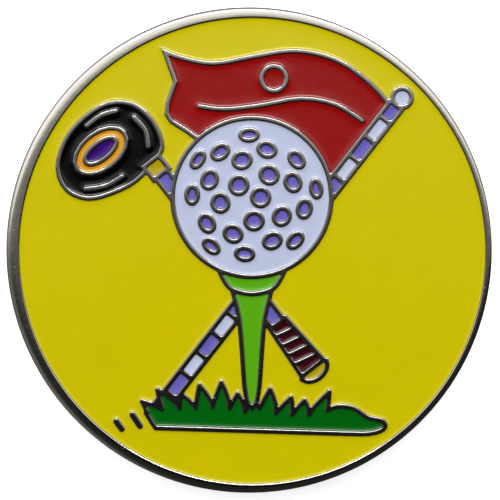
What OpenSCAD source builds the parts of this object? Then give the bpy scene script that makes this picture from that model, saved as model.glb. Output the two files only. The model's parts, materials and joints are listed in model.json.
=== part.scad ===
// Golf ball marker: a struck, nickel-plated iron disc whose sunk cells are filled with coloured enamel.
// The disc lies face up on z = 0, with its centre on the Z axis and the top of its picture towards +Y.

/* [Blank] */
// Outside diameter of the disc
marker_d = 25.4; // [23:0.1:32]
// Overall thickness, from the back rim to the polished tops of the lines
marker_t = 1.8; // [1.5:0.1:2.6]
// Size of the bevel round the outer edge, front and back
edge_bevel = 0.25; // [0.1:0.01:0.3]
// Width of the raised ring round the back
back_rim_w = 0.9; // [0.5:0.1:2]
// Depth of the sandblasted back inside that ring
back_recess = 0.08; // [0.04:0.01:0.15]

/* [Strike] */
// Mean width of the front rim
rim_w = 0.52; // [0.45:0.01:0.9]
// How far the struck field lies off the blank's centre, to the right and up
strike_shift = [0.17, -0.05]; // [-0.2:0.01:0.2]
// Width of the raised metal lines
line_w = 0.26; // [0.2:0.01:0.28]
// Depth of the sunk cells below the lines
cell_depth = 0.36; // [0.25:0.01:0.5]
// How far the enamel surface lies below the lines
enamel_drop = 0.1; // [0.04:0.01:0.16]
// Narrowest cell; one narrower than this is left as metal
sliver = 0.12; // [0.1:0.01:0.14]

/* [Ball and tee] */
// Radius of the ball in the picture
ball_r = 4.15; // [4:0.05:4.25]
// Height of the ball's centre above the middle of the disc
ball_y = 2.75; // [2.7:0.05:2.85]
// Number of dimples on the side that faces the viewer
dimple_count = 23; // [16:1:25]
// Radius of one dimple, to the middle of its line
dimple_r = 0.45; // [0.4:0.01:0.48]

/* [Club and flag] */
// Slope of the crossed club and flagstick, from the horizontal
cross_slope = 52; // [51:1:53]
// Half width of the club's shaft and of the flagstick, to the middle of their lines
shaft_half = 0.38; // [0.34:0.01:0.42]
// Length of one colour band of the flagstick
band_len = 1.3; // [1.1:0.1:1.5]

/* [Grass] */
// Half width of a blade at its foot
blade_half = 0.5; // [0.4:0.01:0.6]

/* [Hidden] */

$fn = 180;
disc_fn = 72;                         // corners of a circle in the picture
corner_fn = 10;                       // of a full turn, where an outline goes round a corner
bond_gap = 0;                         // enamel is fired on to its cell without a gap
design_d = 25.4;                      // the diameter that the picture's lengths are drawn for
picture = marker_d / design_d;        // scale of the picture on this disc
half = line_w / 2;
field_r = (marker_d / 2 - rim_w) / picture;
cell_floor = marker_t - cell_depth;
enamel_t = cell_depth - enamel_drop;
tee_x = 0.15;                         // the ball and the tee stand on this line
cross_at = [tee_x, -2.1];             // the club and the flagstick cross here, behind the tee
club_dir = [-cos(cross_slope), sin(cross_slope)];
stick_dir = [cos(cross_slope), sin(cross_slope)];

// ---- Curves -------------------------------------------------------------------------------

// Point at t between b and c on the smooth curve through a, b, c, d
function knot(a, b, c, d, t) = 0.5 * (2 * b + (c - a) * t + (2 * a - 5 * b + 4 * c - d) * t * t
    + (3 * b - a - 3 * c + d) * t * t * t);

// Smooth closed curve through the points p
function smooth_loop(p, n = 3) = let (m = len(p))
    [for (i = [0 : m - 1]) for (k = [0 : n - 1])
        knot(p[(i + m - 1) % m], p[i], p[(i + 1) % m], p[(i + 2) % m], k / n)];

// Smooth open curve through the points p
function smooth_run(p, n = 3) = let (m = len(p)) concat(
    [for (i = [0 : m - 2]) for (k = [0 : n - 1])
        knot(p[max(i - 1, 0)], p[i], p[i + 1], p[min(i + 2, m - 1)], k / n)],
    [p[m - 1]]);

function unit(v) = v / norm(v);
function right_of(v) = [v.y, -v.x];
function turned(v, angle) = [v.x * cos(angle) - v.y * sin(angle), v.x * sin(angle) + v.y * cos(angle)];

// Outline of a stroke of half width w along the open path p
function stroke(p, w) = let (m = len(p),
        side = [for (i = [0 : m - 1]) right_of(unit(p[min(i + 1, m - 1)] - p[max(i - 1, 0)])) * w])
    concat([for (i = [0 : m - 1]) p[i] + side[i]], [for (i = [m - 1 : -1 : 0]) p[i] - side[i]]);

// Point u along the club or the flagstick from the crossing, and v to its left
function along(dir, u, v) = cross_at + u * dir - v * right_of(dir);
function placed(dir, p) = [for (q = p) along(dir, q.x, q.y)];

module outline(p, g) offset(delta = g) polygon(p);
module disc(r) circle(r, $fn = disc_fn);

// A raised line inside a cell, with round ends
module raised_line(p, w = half) {
    run = smooth_run(p);
    polygon(stroke(run, w));
    for (end = [run[0], run[len(run) - 1]]) translate(end) circle(w, $fn = 12);
}

module ellipse(at, a, b, turn) {
    corners = 16;
    polygon([for (i = [0 : corners - 1]) let (w = 360 * i / corners)
        at + turned([a * cos(w), b * sin(w)], turn)]);
}

// A straight bar along dir from u0 to u1, of half width w
module bar(dir, u0, u1, w) polygon(placed(dir, [[u0, -w], [u1, -w], [u1, w], [u0, w]]));

// ---- Shapes of the picture, each grown by g from the middle of its line -------------------

module ball(g) translate([tee_x, ball_y]) disc(ball_r + g);

// Dimples lie on the sphere in a sunflower spiral, so they narrow towards the ball's edge
golden_turn = 137.508;
dimple_reach = 57;                    // angle from the middle of the ball to the last dimple
module dimples(g)
    for (i = [0 : dimple_count - 1]) {
        tilt = acos(1 - (i + 0.3) / dimple_count * (1 - cos(dimple_reach)));
        turn = golden_turn * i;
        at = [tee_x, ball_y] + ball_r * sin(tilt) * [cos(turn), sin(turn)];
        ellipse(at, dimple_r * cos(tilt) + g, dimple_r + g, turn);
    }

cup_shape = [[0, -2.3], [0.95, -2.1], [1.42, -1.65], [1.62, -0.9],
    [0, -1.1], [-1.62, -0.9], [-1.42, -1.65], [-0.95, -2.1]];
module tee_cup(g) translate([tee_x, 0]) outline(smooth_loop(cup_shape), g);

stem_side = [[0, -8.25], [0.24, -7.9], [0.4, -7], [0.54, -5], [0.7, -3.4], [1.02, -2.1]];
module tee_stem(g) {
    run = smooth_run(stem_side);
    left = [for (i = [len(run) - 1 : -1 : 1]) [-run[i].x, run[i].y]];
    translate([tee_x, 0]) outline(concat(run, left), g);
}

module tee(g) { tee_cup(g); tee_stem(g); }

// The club lies head up to the left: grip cap, grip, shaft, ferrule and a driver's head
grip_end = -5.8;
cap_top = -5.15;
grip_top = -2.2;
ferrule_from = 7.7;
ferrule_to = 8.55;
grip_low_half = 0.72;
grip_top_half = 0.5;
ferrule_half = 0.5;
wraps = 4;                            // wrap lines across the grip
head_shape = [[8.55, -0.5], [9.1, -1.1], [10.3, -1.35], [11.5, -1.05], [12.3, -0.1], [12.5, 1.3],
    [12.2, 2.8], [11.3, 4.05], [10.1, 4.4], [9.05, 3.8], [8.5, 2.6], [8.25, 1.2]];
sole_at = [10.6, 1.75];               // middle of the sole plate on the head
sole_out = [1.55, 0.95];              // half axes of the ring round the sole plate
sole_in = [1, 0.44];
module grip_cap(g) outline(placed(club_dir, smooth_loop([[cap_top, -grip_low_half], [cap_top, grip_low_half],
    [-5.6, 0.6], [grip_end, 0], [-5.6, -0.6]])), g);
module grip(g) outline(placed(club_dir, [[cap_top, -grip_low_half], [grip_top, -grip_top_half],
    [grip_top, grip_top_half], [cap_top, grip_low_half]]), g);
module shaft(g) bar(club_dir, grip_top, ferrule_from, shaft_half + g);
module ferrule(g) outline(placed(club_dir, [[ferrule_from, -ferrule_half], [ferrule_to, -ferrule_half],
    [ferrule_to, ferrule_half], [ferrule_from, ferrule_half]]), g);
module driver_head(g) outline(placed(club_dir, smooth_loop(head_shape)), g);
module sole_plate(axes, g)
    ellipse(along(club_dir, sole_at.x, sole_at.y), axes.x + g, axes.y + g, 90 - cross_slope);

module club(g) { grip_cap(g); grip(g); shaft(g); ferrule(g); driver_head(g); }

// The flagstick stands behind the club, in short colour bands, with the flag behind it
stick_foot = -8.1;
stick_top = 12.3;
first_band = -6.9;                    // lowest line between two bands
bands = ceil((stick_top - first_band) / band_len);
finial_at = 12.75;
finial_r = 0.5;
module flagstick(g) bar(stick_dir, stick_foot, stick_top, shaft_half + g);
module finial(g) translate(along(stick_dir, finial_at, 0)) circle(finial_r + g, $fn = 24);

// Bands number first, first + 2 and so on
module stick_bands(first)
    for (i = [first : 2 : bands]) {
        u = first_band + (i - 1) * band_len;
        bar(stick_dir, max(u, stick_foot) + half, min(u + band_len, stick_top) - half, shaft_half - half);
    }

hoist_low = 6.2;
hoist_high = 12;
flag_top = [[6.3, 8.75], [4.5, 9.95], [2.4, 10.4], [0.2, 10.1],
    [-1.8, 9.75], [-3.4, 10], [-4.4, 10.35]];
flag_fly = [[-3.85, 8.8], [-4.3, 7.1], [-3.3, 6.25], [-2.2, 5.5]];
flag_shape = concat(smooth_run(concat([along(stick_dir, hoist_high, 0)], flag_top)), smooth_run(flag_fly),
    [along(stick_dir, hoist_low, 0)]);
badge_at = [1.3, 8.95];               // a plain raised ring on the flag
badge_r = 0.65;
hem = [[5.9, 6.75], [4.5, 7.6], [2.7, 7.9], [0.6, 7.55], [-1.3, 7.35], [-2.6, 7.5]];
module flag(g) outline(flag_shape, g);
module flag_lines() {
    raised_line(hem);
    translate(badge_at) difference() {
        circle(badge_r + half, $fn = 32);
        circle(badge_r - half, $fn = 32);
    }
}

// Blades: [foot, tip, height of the tip], all measured from the middle of the disc
blades = [[-4.6, -5.6, -7.9], [-3.9, -4.8, -7.3], [-3.1, -3.6, -7.5], [-2.3, -2.6, -7.05],
    [-1.5, -1.45, -6.9], [-0.7, -0.6, -7.5], [tee_x, tee_x, -7.8], [0.9, 1.1, -7.25],
    [1.7, 2.2, -7.7], [2.6, 2.9, -7.85], [3.5, 4.2, -7.4]];
blade_foot = -9;
bend = 0.3;                           // how far a blade has leant over by half its height
module blade(b) {
    mid = [b[0] + bend * (b[1] - b[0]), (blade_foot + b[2]) / 2];
    tip = [b[1], b[2]];
    polygon(concat(
        smooth_run([[b[0] + blade_half, blade_foot], mid + [blade_half * 0.85, 0.1], tip], 2),
        smooth_run([tip, mid - [blade_half * 0.8, 0.1], [b[0] - blade_half, blade_foot]], 2)));
}

// The strip of ground under the blades ends in a low mound on the right
ground_left = [[-5.4, -8.5], [-4.9, -9.3]];
ground_right = [[5, -9.6], [6.3, -9.6], [7.05, -9.35], [7, -8.95],
    [6.2, -8.75], [5.4, -8.25], [4.5, -8.2], [3.7, -8.6]];
module grass(g) offset(r = g, $fn = corner_fn) {
    for (b = blades) blade(b);
    polygon(concat(ground_left, smooth_run(ground_right)));
}

// ---- Cells: what is left of each shape behind the lines in front of it --------------------

ground_dashes = [[[-6.1, -8.6], [-5.7, -9.2]], [[-6.95, -8.95], [-6.65, -9.35]]];
module front_of_club() { ball(half); tee(half); }
module front_of_stick() { front_of_club(); grass(half); club(half); }
module front_of_flag() { front_of_stick(); flagstick(half); finial(half); }
module picture_lines() {
    front_of_flag();
    flag(half);
    for (dash = ground_dashes) raised_line(dash, 0.17);
}

// Bright strokes on the black head, in the club's own directions
head_strokes = [[[9.5, 3.6], [9, 2.7], [8.85, 1.7]], [[9.25, -0.35], [10, -0.75], [10.9, -0.7]],
    [[11.75, -0.15], [12.05, 0.6], [12.08, 1.5]]];

module ball_cell() difference() { ball(-half); dimples(half); }
module dimple_cell() dimples(-half);
module tee_cup_cell() difference() { tee_cup(-half); ball(half); }
module tee_stem_cell() difference() { tee_stem(-half); tee_cup(half); }
module grass_cell() difference() { grass(-half); tee(half); }
module driver_head_cell() difference() {
    driver_head(-half);
    sole_plate(sole_out, half);
    ferrule(half);
    for (s = head_strokes) raised_line(placed(club_dir, s), 0.14);
}
module sole_ring_cell() difference() { sole_plate(sole_out, -half); sole_plate(sole_in, half); }
module sole_plate_cell() sole_plate(sole_in, -half);
module ferrule_cell() ferrule(-half);
module shaft_cell() difference() {
    shaft(-half);
    front_of_club();
    ferrule(half);
    grip(half);
}
module grip_cell() difference() {
    grip(-half);
    front_of_club();
    for (i = [1 : wraps]) let (u = cap_top + i * (grip_top - cap_top) / (wraps + 1))
        polygon(placed(club_dir, [[u - 0.3, -0.9], [u - 0.1, -0.9], [u + 0.3, 0.9], [u + 0.1, 0.9]]));
}
module grip_cap_cell() difference() { grip_cap(-half); grip(half); }
module finial_cell() finial(-half);
module stick_cell(first) difference() { stick_bands(first); front_of_stick(); finial(half); }
module flag_cell() difference() { flag(-half); front_of_flag(); flag_lines(); }
module field_cell() difference() {
    translate(strike_shift / picture) circle(field_r, $fn = 144);
    picture_lines();
}

// A sliver is left as metal, because a die cannot sink it
module die_cut() offset(delta = sliver / 2) offset(r = -sliver / 2, $fn = corner_fn) children();

module round_cells() {
    ball_cell();
    dimple_cell();
    finial_cell();
    sole_ring_cell();
    sole_plate_cell();
}
module cornered_cells() {
    tee_cup_cell();
    tee_stem_cell();
    grass_cell();
    driver_head_cell();
    ferrule_cell();
    shaft_cell();
    grip_cell();
    grip_cap_cell();
    stick_cell(1);
    stick_cell(2);
    flag_cell();
    field_cell();
}

// ---- Pieces -------------------------------------------------------------------------------

module enamel() translate([0, 0, cell_floor]) linear_extrude(enamel_t)
    scale(picture) offset(delta = bond_gap) children();

module struck_base() color("silver") difference() {
    rotate_extrude() polygon([[0, back_recess], [marker_d / 2 - back_rim_w, back_recess],
        [marker_d / 2 - back_rim_w, 0], [marker_d / 2 - edge_bevel, 0], [marker_d / 2, edge_bevel],
        [marker_d / 2, marker_t - edge_bevel], [marker_d / 2 - edge_bevel, marker_t], [0, marker_t]]);
    translate([0, 0, cell_floor]) linear_extrude(cell_depth + 1) scale(picture) offset(delta = bond_gap) {
        round_cells();
        die_cut() cornered_cells();
    }
}
module field_enamel() color("#cabe10") enamel() die_cut() field_cell();
module flag_enamel() color("#901912") enamel() die_cut() flag_cell();
module finial_enamel() color("#c8cde6") enamel() finial_cell();
module flagstick_enamel() color("#7d6ec8") enamel() die_cut() stick_cell(1);
module flagstick_band_enamel() color("#c8cde6") enamel() die_cut() stick_cell(2);
module ball_enamel() color("#c8cde6") enamel() ball_cell();
module dimple_enamel() color("#7d6ec8") enamel() dimple_cell();
module tee_cup_enamel() color("#60a917") enamel() die_cut() tee_cup_cell();
module tee_stem_enamel() color("#60a917") enamel() die_cut() tee_stem_cell();
module grass_enamel() color("#006e14") enamel() die_cut() grass_cell();
module driver_head_enamel() color("#141314") enamel() die_cut() driver_head_cell();
module sole_ring_enamel() color("#d7961e") enamel() sole_ring_cell();
module sole_plate_enamel() color("#461982") enamel() sole_plate_cell();
module ferrule_enamel() color("#c8a51e") enamel() die_cut() ferrule_cell();
module shaft_enamel() color("#7d6ec8") enamel() die_cut() shaft_cell();
module grip_enamel() color("#550f1e") enamel() die_cut() grip_cell();
module grip_cap_enamel() color("#c8a51e") enamel() die_cut() grip_cap_cell();

struck_base();
field_enamel();
flag_enamel();
finial_enamel();
flagstick_enamel();
flagstick_band_enamel();
ball_enamel();
dimple_enamel();
tee_cup_enamel();
tee_stem_enamel();
grass_enamel();
driver_head_enamel();
sole_ring_enamel();
sole_plate_enamel();
ferrule_enamel();
shaft_enamel();
grip_enamel();
grip_cap_enamel();
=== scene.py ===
import json
import math

import bpy
import numpy as np
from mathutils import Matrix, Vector
from mathutils.geometry import delaunay_2d_cdt
from mathutils.kdtree import KDTree


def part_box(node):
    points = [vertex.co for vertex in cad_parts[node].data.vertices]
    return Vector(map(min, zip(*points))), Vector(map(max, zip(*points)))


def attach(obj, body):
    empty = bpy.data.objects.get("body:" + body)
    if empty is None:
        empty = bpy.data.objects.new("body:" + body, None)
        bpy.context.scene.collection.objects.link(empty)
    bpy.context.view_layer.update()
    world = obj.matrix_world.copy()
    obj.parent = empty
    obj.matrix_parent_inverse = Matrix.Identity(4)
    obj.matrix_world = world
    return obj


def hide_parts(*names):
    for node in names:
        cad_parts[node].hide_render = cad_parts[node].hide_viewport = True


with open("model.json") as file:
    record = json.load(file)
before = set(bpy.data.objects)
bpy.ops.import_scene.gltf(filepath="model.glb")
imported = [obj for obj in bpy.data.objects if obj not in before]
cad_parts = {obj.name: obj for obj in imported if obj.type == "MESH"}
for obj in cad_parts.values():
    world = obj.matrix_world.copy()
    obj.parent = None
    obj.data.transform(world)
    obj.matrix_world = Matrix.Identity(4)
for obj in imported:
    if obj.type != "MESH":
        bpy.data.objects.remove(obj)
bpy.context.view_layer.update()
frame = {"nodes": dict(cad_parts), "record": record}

# A golf ball marker lying face up. The outlines of its sunk cells are read from the frame, in millimetres,
# and the visible pieces are built on them: a nickel-plated disc with rounded line edges, and one piece for
# each enamel node, whose glossy surface climbs a little way up the walls.

MM = 0.001
disc_low, disc_high = [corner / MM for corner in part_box("struck_base")]
fill_low, fill_high = [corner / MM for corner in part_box("field_enamel")]
RADIUS = (disc_high.x - disc_low.x) / 2
TOP = disc_high.z                 # polished tops of the rim and the lines
FILL_TOP = fill_high.z            # enamel surface, away from the walls
FLOOR = fill_low.z                # floor of the cells

STEP = 0.055                      # spacing of points along an outline
CORNER = math.radians(32)         # an outline that turns more than this has a true corner
TINY = 1e-6                       # a length or area that counts as nothing
LINE_ROUND = 0.05                 # radius of the rounded edge of a line
MENISCUS = 0.046                  # how far the enamel climbs its wall
RIM_ROUND = 0.055                 # the same two at the rim's inner edge, which is more worn
RIM_MENISCUS = 0.04
MENISCUS_REACH = 0.075            # distance over which the climb falls to a third
DOME_SLOPE = 0.02                 # slope of a line's top where it meets that edge, as the polish leaves it
DOME_REACH = 0.22                 # distance from the edge at which the top is level
PICTURE_RADIUS = 11.95            # the rim is outside this; the duller lines of the picture are inside

# Rows of points lie at these distances from the walls, out on the metal and in on the enamel
METAL_RINGS = (0.008, 0.02, 0.034, 0.052, 0.09, 0.15, 0.2, 0.26)
FILL_RINGS = (0.018, 0.04, 0.07, 0.11, 0.17, 0.26)
METAL_GAP = STEP * 0.2            # least distance between two points of those rows
FILL_GAP = STEP * 0.32
RING_SHARE = 0.9                  # a point is dropped where some wall is nearer than this share of its row
SHORT_LOOP = 8                    # an outline with fewer points has no rows
FILL_GRID = 0.34                  # spacing of points in the middle of a fill
GRID_ROWS = 0.87                  # distance between its rows, as a share of the spacing

BACK_RIM = 0.9                    # width of the flat ring round the back
BACK_DEPTH = 0.08                 # depth of the blasted back inside it


# ---- Outlines ------------------------------------------------------------------------------------


def top_edges(node):
    """Directed border edges of a fill's top face, as pairs of rounded points."""
    mesh = frame["nodes"][node].data
    points = [(round(v.co.x / MM, 5), round(v.co.y / MM, 5), v.co.z / MM) for v in mesh.vertices]
    edges = set()
    for face in mesh.polygons:
        corners = [points[i] for i in face.vertices]
        if min(c[2] for c in corners) < FILL_TOP - 1e-3:
            continue
        for a, b in zip(corners, corners[1:] + corners[:1]):
            edge, back = (a[:2], b[:2]), (b[:2], a[:2])
            if back in edges:
                edges.remove(back)
            else:
                edges.add(edge)
    return edges


def chain(edges):
    """Closed loops of points from directed edges, with the enamel on the left."""
    following = {}
    for a, b in edges:
        following.setdefault(a, []).append(b)
    loops = []
    while following:
        start = next(iter(sorted(following)))
        loop, here = [], start
        while True:
            loop.append(here)
            after = following[here]
            there = after.pop()
            if not after:
                del following[here]
            here = there
            if here == start:
                break
        loops.append(np.array(loop))
    return loops


def smooth(loop):
    """The loop through the same points with its round stretches made smooth, at an even spacing."""
    ahead = np.roll(loop, -1, 0) - loop
    length = np.linalg.norm(ahead, axis=1)
    ahead /= length[:, None]
    behind, behind_length = np.roll(ahead, 1, 0), np.roll(length, 1)
    turn = np.abs(np.arctan2(behind[:, 0] * ahead[:, 1] - behind[:, 1] * ahead[:, 0],
                             (behind * ahead).sum(1)))
    mean = ahead * length[:, None] ** 2 + behind * behind_length[:, None] ** 2
    mean /= np.maximum(np.linalg.norm(mean, axis=1), 1e-9)[:, None]
    sharp = (turn > CORNER)[:, None]
    leaving, arriving = np.where(sharp, ahead, mean), np.where(sharp, behind, mean)
    out = []
    for i, p in enumerate(loop):
        j = (i + 1) % len(loop)
        count = max(1, round(length[i] / STEP))
        for t in np.arange(count) / count:
            out.append(p * (2 * t**3 - 3 * t**2 + 1) + loop[j] * (3 * t**2 - 2 * t**3)
                       + length[i] * (leaving[i] * (t**3 - 2 * t**2 + t) + arriving[j] * (t**3 - t**2)))
    out = np.array(out)
    for _ in range(2):
        out = (np.roll(out, 1, 0) + 2 * out + np.roll(out, -1, 0)) / 4
    keep = np.linalg.norm(np.roll(out, -1, 0) - out, axis=1) > STEP * 0.2
    return out[keep]


def inward(loop):
    """Unit vectors to the left of the loop, which is into the enamel."""
    along = np.roll(loop, -1, 0) - np.roll(loop, 1, 0)
    along /= np.linalg.norm(along, axis=1)[:, None]
    return np.stack([-along[:, 1], along[:, 0]], 1)


def wall_tree(loops):
    """Finds the distance from a point to the nearest wall."""
    points = np.concatenate([np.concatenate([p, (p + np.roll(p, 1, 0)) / 2]) for p in loops])
    tree = KDTree(len(points))
    for i, p in enumerate(points):
        tree.insert((p[0], p[1], 0), i)
    tree.balance()
    return tree


def distance(tree, points):
    """How far each point is from the nearest wall."""
    return np.array([tree.find((p[0], p[1], 0))[2] for p in points])


def at_rim(points, reach):
    """Is the wall nearest to each point, which is that far off, the rim's inner edge?"""
    return distance(rim_tree, points) < reach + TINY


# ---- Surfaces ------------------------------------------------------------------------------------


def encloses(loops, point):
    """Does the region inside the outlines, less its holes, hold the point? Counts crossings towards +X."""
    hits = 0
    for loop in loops:
        a, b = loop, np.roll(loop, -1, 0)
        over = (a[:, 1] > point[1]) != (b[:, 1] > point[1])
        a, b = a[over], b[over]
        at = a[:, 0] + (point[1] - a[:, 1]) * (b[:, 0] - a[:, 0]) / (b[:, 1] - a[:, 1])
        hits += int((at > point[0]).sum())
    return hits % 2 == 1


def patches(triangles, borders):
    """Groups of triangles that are joined across edges other than the borders."""
    beside = {}
    for index, (a, b, c) in enumerate(triangles):
        for edge in ((a, b), (b, c), (c, a)):
            beside.setdefault((min(edge), max(edge)), []).append(index)
    near = [[] for _ in triangles]
    for edge, pair in beside.items():
        if len(pair) == 2 and edge not in borders:
            near[pair[0]].append(pair[1])
            near[pair[1]].append(pair[0])
    seen, groups = np.zeros(len(triangles), bool), []
    for first in range(len(triangles)):
        if seen[first]:
            continue
        seen[first] = True
        group, ahead = [], [first]
        while ahead:
            here = ahead.pop()
            group.append(here)
            for there in near[here]:
                if not seen[there]:
                    seen[there] = True
                    ahead.append(there)
        groups.append(group)
    return groups


def triangulate(loops, extra=()):
    """Points and triangles of the region inside the loops. The loops' points come first, in order."""
    edges, start = [], 0
    for loop in loops:
        count = len(loop)
        edges += [(start + k, start + (k + 1) % count) for k in range(count)]
        start += count
    points = np.concatenate(list(loops) + ([extra] if len(extra) else []))
    made, border, triangles, origin, _, _ = delaunay_2d_cdt([Vector(p) for p in points], edges, [], 0, 1e-7)
    place, added = [], []         # where each made point goes, so that the given ones keep their order
    for point, old in zip(made, origin):
        place.append(old[0] if len(old) else len(points) + len(added))
        if not len(old):
            added.append(point[:])
    out = np.concatenate([points, added]) if added else points
    triangles = np.array([[place[i] for i in t] for t in triangles])
    alias = {k: old[0] for old in origin for k in old[1:]}
    borders = set()
    for a, b in edges:
        a, b = alias.get(a, a), alias.get(b, b)
        borders.add((min(a, b), max(a, b)))
    keep = []
    for group in patches(triangles, borders):
        corner = out[triangles[group]]
        area = np.abs(np.cross(corner[:, 1] - corner[:, 0], corner[:, 2] - corner[:, 0]))
        if area.max() > TINY and encloses(loops, corner[area.argmax()].mean(0)):
            keep += group
    return out, triangles[sorted(keep)]


def rings(loops, tree, reaches, side):
    """Points at each distance from the walls. side is 1 for the enamel and -1 for the metal."""
    points = []
    for d in reaches:
        for loop in loops:
            if len(loop) < SHORT_LOOP:
                continue
            ring = loop + side * d * inward(loop)
            if d > 2 * STEP:
                ring = ring[::2]
            points.append(ring[distance(tree, ring) > d * RING_SHARE])
    return np.concatenate(points)


def thinned(points, gap):
    """The points without each one that lies closer than the gap to one before it."""
    cells, keep = {}, []
    for i, p in enumerate(points):
        cell = (int(p[0] // gap), int(p[1] // gap))
        near = [j for dx in (-1, 0, 1) for dy in (-1, 0, 1)
                for j in cells.get((cell[0] + dx, cell[1] + dy), ())]
        if all(np.hypot(*(points[j] - p)) >= gap for j in near):
            keep.append(i)
            cells.setdefault(cell, []).append(i)
    return points[keep]


def circle(radius, count):
    """Points of a circle about the middle of the disc, anticlockwise from +X."""
    turn = np.arange(count) * 2 * math.pi / count
    return np.stack([radius * np.cos(turn), radius * np.sin(turn)], 1)


def solid(name, vertices, faces, node, looks, plain=None):
    """A visible piece. Faces from number plain on take the second of its looks."""
    mesh = bpy.data.meshes.new(name)
    mesh.from_pydata(np.asarray(vertices) * MM, [], [[int(i) for i in face] for face in faces])
    for look in looks:
        mesh.materials.append(look)
    if plain:
        mesh.polygons.foreach_set("material_index", [int(i >= plain) for i in range(len(faces))])
    mesh.validate()
    mesh.shade_smooth()
    piece = bpy.data.objects.new(name, mesh)
    bpy.context.scene.collection.objects.link(piece)
    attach(piece, "root")
    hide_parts(node)
    return piece


# ---- Enamel --------------------------------------------------------------------------------------


def raised(points, z):
    """The flat points at the given height, or each at its own."""
    return np.column_stack([points, np.broadcast_to(z, len(points))])


def band(lower, upper, count):
    """Quads between two closed rows of vertices, given by their first indices."""
    return [(lower + k, lower + (k + 1) % count, upper + (k + 1) % count, upper + k) for k in range(count)]


def fill(node, look):
    """The enamel of one node: closed bodies whose surface curves up where it wets the walls."""
    loops = outlines[node]
    tree = wall_tree(loops)
    near = thinned(rings(loops, tree, FILL_RINGS, 1), FILL_GAP)
    low, high = np.concatenate(loops).min(0), np.concatenate(loops).max(0)
    across = np.arange(low[0], high[0], FILL_GRID)
    up = np.arange(low[1], high[1], FILL_GRID * GRID_ROWS)
    middle = np.array([[x + (row % 2) * FILL_GRID / 2, y] for row, y in enumerate(up) for x in across])
    far = distance(tree, middle) > FILL_RINGS[-1] + FILL_GRID / 2
    middle = np.array([p for p in middle[far] if encloses(loops, p)]).reshape(-1, 2)
    points, triangles = triangulate(loops, np.concatenate([near, middle]))
    reach = distance(tree, points)
    reach[:sum(len(loop) for loop in loops)] = 0
    climb = np.where(at_rim(points, reach), RIM_MENISCUS, MENISCUS)
    vertices = raised(points, FILL_TOP + climb * np.exp(-reach / MENISCUS_REACH))
    floor_points, floor_triangles = floors[node]
    base = len(vertices)
    vertices = np.concatenate([vertices, raised(floor_points, FLOOR)])
    faces = list(triangles) + [t[::-1] + base for t in floor_triangles]
    start = 0
    for loop in loops:
        faces += band(base + start, start, len(loop))
        start += len(loop)
    return solid(node.replace("_enamel", "_fill"), vertices, faces, node, [look])


# ---- Struck metal --------------------------------------------------------------------------------

# The worn outer edge, as distances in from the side and drops below the top, where the rim is EDGE_RIM wide.
# It is narrower where the rim is, since the picture was struck a little off the centre.
EDGE = [(0.42, 0), (0.36, 0.0008), (0.3, 0.0028), (0.25, 0.006), (0.2, 0.012), (0.15, 0.023), (0.1, 0.042),
        (0.06, 0.063), (0.03, 0.083), (0.012, 0.096), (0, 0.115)]
EDGE_RIM = 0.64
EDGE_LEAST = 0.4                  # the narrowest that edge gets, as a share of its full width
BRIM = 3                          # the first of them that is a ring of its own
BACK_STEPS = [(BACK_RIM - 0.05, 0), (BACK_RIM - 0.015, 0.006), (BACK_RIM + 0.015, 0.03),
              (BACK_RIM + 0.045, BACK_DEPTH - 0.008), (BACK_RIM + 0.09, BACK_DEPTH)]
BACK_ROWS = (0.8, 0.6, 0.4, 0.2)  # rows of points across the sunk back, as shares of the radius
ROUND = 360                       # points round the disc


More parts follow.
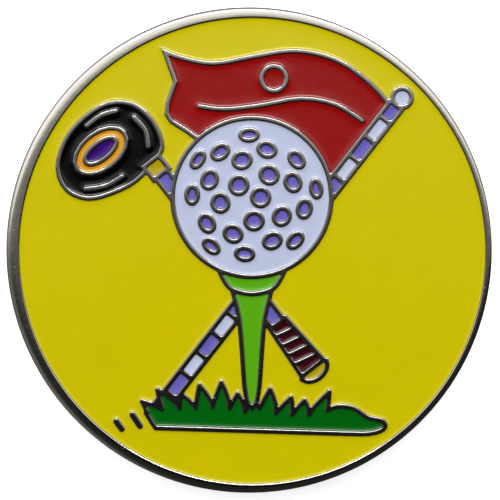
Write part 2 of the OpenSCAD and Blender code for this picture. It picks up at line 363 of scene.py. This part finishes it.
def struck_metal(look, blasted):
    """The plated disc as one closed body: tops of the rim and lines, cells, worn edge and blasted back."""
    loops = [loop for node in fills for loop in outlines[node]]
    tree = wall_tree(loops)
    share = np.clip(distance(tree, circle(RADIUS, ROUND)) / EDGE_RIM, EDGE_LEAST, 1)

    def edge_ring(inset):
        return circle(1, ROUND) * (RADIUS - inset * share)[:, None]

    def share_at(points):
        turn = np.degrees(np.arctan2(points[:, 1], points[:, 0]))
        return np.interp(turn, np.arange(ROUND) * 360 / ROUND, share, period=360)

    def edge_place(points):
        """How far in from the side each point is, counted on a rim that is EDGE_RIM wide."""
        return (RADIUS - np.hypot(points[:, 0], points[:, 1])) / share_at(points)

    brim = edge_ring(EDGE[BRIM][0])
    near = rings(loops, tree, METAL_RINGS, -1)
    rows = np.concatenate([edge_ring(inset) for inset, _ in EDGE[:BRIM]])
    near = np.concatenate([near, rows[distance(tree, rows) > STEP]])
    near = near[edge_place(near) > EDGE[BRIM][0] + STEP / 2]
    points, triangles = triangulate([brim] + loops, thinned(near, METAL_GAP))
    border = sum(len(loop) for loop in loops)
    reach = distance(tree, points)
    reach[ROUND:ROUND + border] = 0
    rounding = np.where(at_rim(points, reach), RIM_ROUND, LINE_ROUND)
    z = TOP - rounding * (1 - np.sqrt(1 - (1 - np.minimum(reach / rounding, 1)) ** 2))
    z -= DOME_SLOPE * np.maximum(DOME_REACH - reach, 0) ** 2 / DOME_REACH / 2
    inset, drop = np.array(EDGE[::-1]).T
    z -= np.interp(edge_place(points), inset, drop) * share_at(points)
    z[:ROUND] = TOP - EDGE[BRIM][1] * share
    vertices, faces = [raised(points, z)], list(triangles)
    count = len(points)

    # Cell walls and floors
    start = ROUND
    for node in fills:
        floor_points, floor_triangles = floors[node]
        vertices.append(raised(floor_points, FLOOR))
        faces += list(floor_triangles + count)
        along = 0
        for loop in outlines[node]:
            faces += band(start, count + along, len(loop))
            start += len(loop)
            along += len(loop)
        count += len(floor_points)

    # Outer edge, back rim and the sunk back
    rows = [(edge_ring(inset), TOP - drop * share) for inset, drop in EDGE[BRIM + 1:]]
    rows += [(circle(RADIUS - inset, ROUND), drop) for inset, drop in EDGE[::-1]]
    rows += [(circle(RADIUS - inset, ROUND), height) for inset, height in BACK_STEPS]
    rows += [(circle(RADIUS * part, ROUND), BACK_DEPTH) for part in BACK_ROWS]
    above, plated = 0, len(faces)
    for row, (ring, height) in enumerate(rows):
        vertices.append(raised(ring, height))
        faces += band(count, above, ROUND)
        above = count
        count += ROUND
        if row == len(rows) - len(BACK_ROWS) - 1:
            plated = len(faces)
    vertices.append(np.array([[0, 0, BACK_DEPTH]]))
    faces += [(count, above + (k + 1) % ROUND, above + k) for k in range(ROUND)]
    return solid("struck_disc", np.concatenate(vertices), faces, "struck_base",
                 [look, blasted], plated)


# ---- Node trees ----------------------------------------------------------------------------------


class Nodes:
    """Builds one node tree. A value is a number, a tuple, or another node's output."""

    def __init__(self, tree):
        self.tree = tree
        tree.nodes.clear()

    def add(self, kind, values=(), **settings):
        node = self.tree.nodes.new(kind)
        for name, value in settings.items():
            setattr(node, name, value)
        for name, value in dict(values).items():
            self.put(node.inputs[name], value)
        return node

    def put(self, socket, value):
        if isinstance(value, bpy.types.NodeSocket):
            self.tree.links.new(value, socket)
        else:
            socket.default_value = value

    def math(self, operation, *values, clamp=False):
        node = self.add("ShaderNodeMath", operation=operation, use_clamp=clamp)
        for socket, value in zip(node.inputs, values):
            self.put(socket, value)
        return node.outputs[0]

    def vector(self, operation, *values):
        node = self.add("ShaderNodeVectorMath", operation=operation)
        for socket, value in zip(node.inputs, values):
            self.put(socket, value)
        return node.outputs[0]

    def scaled(self, vector, factor):
        node = self.add("ShaderNodeVectorMath", {"Vector": vector, "Scale": factor}, operation="SCALE")
        return node.outputs[0]

    def step(self, value, low, high, out_low=0, out_high=1):
        """Runs smoothly from out_low to out_high as the value goes from low to high."""
        node = self.add("ShaderNodeMapRange", {"Value": value, "From Min": low, "From Max": high,
                                               "To Min": out_low, "To Max": out_high},
                        interpolation_type="SMOOTHSTEP")
        return node.outputs[0]

    def noise(self, where, size, detail=2, rough=0.5, stretch=(1, 1, 1), turn=0):
        """Noise with features of that size in millimetres, drawn out and turned about Z."""
        at = self.add("ShaderNodeMapping", {"Vector": where, "Rotation": (0, 0, turn),
                                            "Scale": tuple(1 / (size * k) for k in stretch)}).outputs[0]
        return self.add("ShaderNodeTexNoise", {"Vector": at, "Scale": 1, "Detail": detail,
                                               "Roughness": rough}).outputs["Fac"]

    def specks(self, where, spacing, radius, share):
        """1 inside round specks: a cell of that spacing holds one in the given share of places."""
        cell = self.add("ShaderNodeTexVoronoi", {"Vector": where, "Scale": 1 / spacing})
        draw = self.add("ShaderNodeSeparateColor", {"Color": cell.outputs["Color"]})
        dot = self.step(cell.outputs["Distance"], radius / spacing, radius / spacing * 0.5)
        return self.math("MULTIPLY", dot, self.math("LESS_THAN", draw.outputs[0], share))

    def mix(self, factor, a, b, blend="MIX"):
        node = self.add("ShaderNodeMix", data_type="RGBA", blend_type=blend)
        for index, value in ((0, factor), (6, a), (7, b)):
            self.put(node.inputs[index], value)
        return node.outputs[2]

    def ramp(self, factor, stops):
        """A colour that runs through the stops, each a place from 0 to 1 and its red, green and blue."""
        node = self.add("ShaderNodeValToRGB", {"Fac": factor})
        while len(node.color_ramp.elements) < len(stops):
            node.color_ramp.elements.new(0.5)
        for element, (place, colour) in zip(node.color_ramp.elements, stops):
            element.position = place
            element.color = (*colour, 1)
        return node.outputs[0]

    def bumps(self, *layers):
        """Stacks bump layers, each a height and its full depth in millimetres."""
        normal = None
        for height, depth in layers:
            values = {"Height": height, "Distance": depth * MM}
            if normal is not None:
                values["Normal"] = normal
            normal = self.add("ShaderNodeBump", values).outputs[0]
        return normal


def material(name, colour):
    """A new material, its graph, its surface coordinates in millimetres, and its shader."""
    look = bpy.data.materials.new(name)
    look.use_nodes = True
    look.diffuse_color = (*colour, 1)
    graph = Nodes(look.node_tree)
    place = graph.add("ShaderNodeTexCoord").outputs["Object"]
    where = graph.vector("MULTIPLY", place, (1 / MM,) * 3)
    shader = graph.add("ShaderNodeBsdfPrincipled")
    graph.add("ShaderNodeOutputMaterial", {"Surface": shader.outputs[0]})
    return look, graph, where, shader


def shade(colour, factor):
    """The colour made lighter or darker, with an alpha of 1."""
    return (*(c * factor for c in colour), 1)


# Painted shade: the plate's colour is darkened where its edges dip into the cells, standing in for the shade
# there
PAINTED_SHADE_DROPS = (0.004, 0.018)      # painted shade starts and is full at these drops below the tops
PAINTED_SHADE_EDGE = (0.5, 0.45)          # and ends between these distances outside the picture
PICTURE_DULL = (0.53, 0.53, 0.56, 1)


def polished_nickel():
    """Bright plate with a soft polish, hairline scratches, small nicks, and painted shade darkening its edges
    where they dip to the enamel.
    """
    tone = (0.68, 0.65, 0.55)
    look, graph, where, shader = material("polished_nickel", tone)
    radius = graph.add("ShaderNodeVectorMath", {"Vector": graph.vector("MULTIPLY", where, (1, 1, 0))},
                       operation="LENGTH").outputs["Value"]
    dull = graph.step(radius, PICTURE_RADIUS + 0.1, PICTURE_RADIUS - 0.1)
    cloud = graph.noise(where, 1.6, 3)
    grain = graph.noise(where, 0.05, 3, 0.6)
    hair = graph.math("MAXIMUM", graph.step(graph.noise(where, 0.025, 2, 0.5, (60, 1, 1), 0.5), 0.66, 0.72),
                      graph.step(graph.noise(where, 0.025, 2, 0.5, (50, 1, 1), 2.2), 0.66, 0.72))
    wave = graph.noise(where, 0.45, 2)
    nick = graph.specks(where, 0.3, 0.045, 0.2)
    pit = graph.specks(where, 0.11, 0.022, 0.25)
    height = graph.add("ShaderNodeSeparateXYZ", {"Vector": where}).outputs[2]
    starts, full = PAINTED_SHADE_DROPS
    outer, inner = PAINTED_SHADE_EDGE
    # Painted shade: darker base colour where the metal drops below its tops, inside the outer edge
    painted_shade = graph.math("MULTIPLY", graph.step(height, TOP - starts, TOP - full, 0, 0.85),
                       graph.step(radius, PICTURE_RADIUS + outer, PICTURE_RADIUS + inner))
    base = graph.mix(graph.math("MULTIPLY", pit, 0.5), graph.mix(cloud, shade(tone, 0.93), shade(tone, 1.05)),
                     shade(tone, 0.45))
    base = graph.mix(painted_shade, base, shade(tone, 0.12))
    graph.put(shader.inputs["Base Color"], graph.mix(dull, base, PICTURE_DULL, "MULTIPLY"))
    shader.inputs["Metallic"].default_value = 1
    rough = graph.step(grain, 0.3, 0.7, 0.04, 0.1)
    rough = graph.math("MULTIPLY_ADD", dull, 0.05, rough)
    worn = graph.math("MULTIPLY", grain, graph.math("MULTIPLY_ADD", dull, 0.6, 0.4))
    graph.put(shader.inputs["Roughness"], graph.math("MULTIPLY_ADD", hair, 0.06, rough))
    graph.put(shader.inputs["Normal"], graph.bumps((cloud, 0.002), (wave, 0.0016), (worn, 0.0006),
                                                   (hair, -0.0002), (nick, -0.002)))
    return look


def blasted_nickel():
    """The sunk back of the disc: a fine, even, matt grain."""
    tone = (0.6, 0.575, 0.5)
    look, graph, where, shader = material("blasted_nickel", tone)
    cloud = graph.noise(where, 2.2, 3)
    grain = graph.noise(where, 0.07, 4, 0.7)
    graph.put(shader.inputs["Base Color"], graph.mix(cloud, shade(tone, 0.88), shade(tone, 1.06)))
    shader.inputs["Metallic"].default_value = 1
    graph.put(shader.inputs["Roughness"], graph.step(grain, 0.25, 0.75, 0.3, 0.48))
    graph.put(shader.inputs["Normal"], graph.bumps((grain, 0.014)))
    return look


def fired_enamel(name, colour, mottle=0.05):
    """Glossy enamel: pigment a little uneven, the surface faintly wavy, with a few pits and grains."""
    look, graph, where, shader = material(name, colour)
    cloud = graph.noise(where, 1.3, 4, 0.6)
    grain = graph.noise(where, 0.09, 3)
    wave = graph.noise(where, 0.8, 2, 0.4)
    pit = graph.specks(where, 0.9, 0.045, 0.25)
    base = graph.mix(cloud, shade(colour, 1 - mottle), shade(colour, 1 + mottle))
    base = graph.mix(graph.step(grain, 0.62, 0.75, 0, 0.35), base, shade(colour, 1 - 3 * mottle))
    base = graph.mix(graph.math("MULTIPLY", pit, 0.5), base, shade(colour, 0.5))
    graph.put(shader.inputs["Base Color"], base)
    graph.put(shader.inputs["Roughness"], graph.step(grain, 0.3, 0.7, 0.05, 0.1))
    shader.inputs["Specular IOR Level"].default_value = 0.28
    graph.put(shader.inputs["Normal"], graph.bumps((wave, 0.005), (grain, 0.0003), (pit, -0.006)))
    return look


# ---- The marker ----------------------------------------------------------------------------------

# Base colour of the enamel in each material slot
COLOURS = {
    "yellow_enamel": (0.6, 0.52, 0.001),
    "red_enamel": (0.27, 0.004, 0.003),
    "white_enamel": (0.51, 0.56, 0.7),
    "violet_enamel": (0.14, 0.12, 0.46),
    "light_green_enamel": (0.1, 0.4, 0.006),
    "dark_green_enamel": (0.001, 0.12, 0.005),
    "black_enamel": (0.001, 0.0009, 0.001),
    "orange_enamel": (0.7, 0.32, 0.008),
    "purple_enamel": (0.038, 0.005, 0.155),
    "ochre_enamel": (0.43, 0.34, 0.004),
    "maroon_enamel": (0.047, 0.0015, 0.005),
}
slots = {part["node"]: part["material_slot"] for part in frame["record"]["subparts"]}
fills = [node for node in slots if slots[node] in COLOURS]
outlines = {node: [smooth(loop) for loop in chain(top_edges(node))] for node in fills}
floors = {node: triangulate(outlines[node]) for node in fills}
rim_tree = wall_tree([max(outlines["field_enamel"], key=np.ptp)])     # the widest outline is the rim's

looks = {slot: fired_enamel(slot, colour) for slot, colour in COLOURS.items()}
struck_metal(polished_nickel(), blasted_nickel())
for node in fills:
    fill(node, looks[slots[node]])


# ---- Floor, light and camera ---------------------------------------------------------------------


FLOOR_RADIUS = 1                  # metres
FLOOR_SIDES = 64


def pale_floor():
    """The camera sees it nearly white. To mirrored and bounced light it is darker, as in a dim room."""
    look, graph, where, shader = material("pale_floor", (0.9, 0.9, 0.9))
    cloud = graph.noise(where, 40, 3)
    seen = graph.add("ShaderNodeLightPath").outputs["Is Camera Ray"]
    pale = graph.mix(cloud, (0.9, 0.9, 0.9, 1), (0.93, 0.93, 0.93, 1))
    graph.put(shader.inputs["Base Color"], graph.mix(seen, (0.35, 0.35, 0.36, 1), pale))
    shader.inputs["Roughness"].default_value = 0.9
    shader.inputs["Specular IOR Level"].default_value = 0
    shader.inputs["Emission Color"].default_value = (1, 1, 1, 1)
    graph.put(shader.inputs["Emission Strength"], graph.math("MULTIPLY", seen, 0.8))
    vertices = [(0, 0, 0)] + [tuple(p) for p in raised(circle(FLOOR_RADIUS, FLOOR_SIDES), 0)]
    mesh = bpy.data.meshes.new("floor")
    mesh.from_pydata(vertices, [], [(0, k + 1, (k + 1) % FLOOR_SIDES + 1) for k in range(FLOOR_SIDES)])
    mesh.materials.append(look)
    floor = bpy.data.objects.new("floor", mesh)
    bpy.context.scene.collection.objects.link(floor)


DEGREES = 180 / math.pi

# Brightness of the room by direction, from towards the bottom of the picture (0) to towards its top (1)
ROOM = [(0, 0.03), (0.25, 0.025), (0.4, 0.02), (0.455, 0.02), (0.48, 0.032), (0.5, 0.13), (0.535, 0.2),
        (0.6, 0.3), (0.75, 0.42), (0.9, 0.42), (1, 0.3)]
# Brightness of the light tent by its tilt from overhead towards +Y in degrees. It is bluer past TENT_BLUE.
TENT = [(0, 0), (2.9, 0.1), (4.2, 0.23), (5.1, 0.47), (6.5, 0.74), (9, 0.9), (22, 1.05), (29, 1.05),
        (37, 0.9), (50, 0.38), (62, 0.1), (76, 0)]
TENT_SPAN = 120                   # the tilt at the end of its ramp
TENT_BLUE = 28
TENT_GAIN = 2                     # a ramp's colour stops at 1, so it holds the level over this


def studio():
    """A dim room with a light tent, as the polished metal mirrors them. The camera sees plain white."""
    world = bpy.data.worlds.new("studio")
    bpy.context.scene.world = world
    world.use_nodes = True
    graph = Nodes(world.node_tree)
    aim = graph.add("ShaderNodeTexCoord").outputs["Generated"]
    axes = graph.add("ShaderNodeSeparateXYZ", {"Vector": aim})
    x, y, z = axes.outputs
    room = graph.ramp(graph.math("MULTIPLY_ADD", y, 0.5, 0.5),
                      [(at, (level, level * 0.97, level * 1.03)) for at, level in ROOM])
    tilt = graph.math("MULTIPLY", graph.math("ARCTAN2", y, z), DEGREES)
    stops = []
    for degrees, level in TENT:
        green, blue = (0.94, 1.4) if degrees > TENT_BLUE else (1, 1)
        level /= TENT_GAIN
        stops.append((degrees / TENT_SPAN, (level, level * green, level * blue)))
    tent = graph.ramp(graph.math("DIVIDE", tilt, TENT_SPAN, clamp=True), stops)
    width = graph.math("MULTIPLY", graph.step(x, 0.85, 0.25), graph.step(x, -0.92, -0.5))
    width = graph.math("MULTIPLY", width, TENT_GAIN)
    left = graph.step(x, -0.1, -0.7, 0, 0.16)
    low = graph.step(z, 0.1, 0.65, 0.45, 1)

    # The dark outline of whoever holds the camera, a few degrees from overhead towards -Y
    side = graph.math("MULTIPLY", graph.math("ARCTAN2", x, z), DEGREES)
    off = graph.math("SQRT", graph.math("ADD", graph.math("POWER", side, 2),
                                        graph.math("POWER", graph.math("ADD", tilt, 3.2), 2)))
    viewer = graph.step(off, 2.8, 4.6, 0.02, 1)

    glow = graph.add("ShaderNodeCombineXYZ", {0: left, 1: left, 2: left}).outputs[0]
    level = graph.vector("ADD", room, glow)
    level = graph.vector("ADD", graph.scaled(level, low), graph.scaled(tent, width))
    light = graph.add("ShaderNodeBackground", {"Color": level, "Strength": viewer})
    pale = graph.add("ShaderNodeBackground", {"Color": (1, 1, 1, 1), "Strength": 1.0})
    seen = graph.add("ShaderNodeLightPath").outputs["Is Camera Ray"]
    both = graph.add("ShaderNodeMixShader", {0: seen, 1: light.outputs[0], 2: pale.outputs[0]})
    graph.add("ShaderNodeOutputWorld", {"Surface": both.outputs[0]})


def soft_box(name, tilt, reach, width, height, power, mirrored=True):
    """An area light that stands off from the marker, tilted from overhead towards +Y."""
    lamp = bpy.data.lights.new(name, "AREA")
    lamp.shape, lamp.size, lamp.size_y, lamp.energy = "RECTANGLE", width, height, power
    light = bpy.data.objects.new(name, lamp)
    light.location = (0, reach * math.sin(tilt), reach * math.cos(tilt))
    light.rotation_euler = (-tilt, 0, 0)
    light.visible_glossy = mirrored
    bpy.context.scene.collection.objects.link(light)


FRAME_WIDTH = 26.13               # millimetres across the picture, at the polished tops
EYE = 120                         # height of the camera above them
EYE_RIGHT = 0.05                  # and its place to the right of the middle
SENSOR = 36

pale_floor()
studio()
soft_box("key", math.radians(32), 0.5, 0.34, 0.08, 1.65)
soft_box("fill", math.radians(33), 0.066, 0.03, 0.03, 0.0018, mirrored=False)
camera = bpy.data.cameras.new("camera")
camera.sensor_width = SENSOR
camera.lens = SENSOR * EYE / FRAME_WIDTH
camera.clip_start, camera.clip_end = 0.005, 10
viewer = bpy.data.objects.new("camera", camera)
viewer.location = (EYE_RIGHT * MM, 0, (TOP + EYE) * MM)
bpy.context.scene.collection.objects.link(viewer)
bpy.context.scene.camera = viewer
bpy.context.scene.view_settings.view_transform = "Standard"
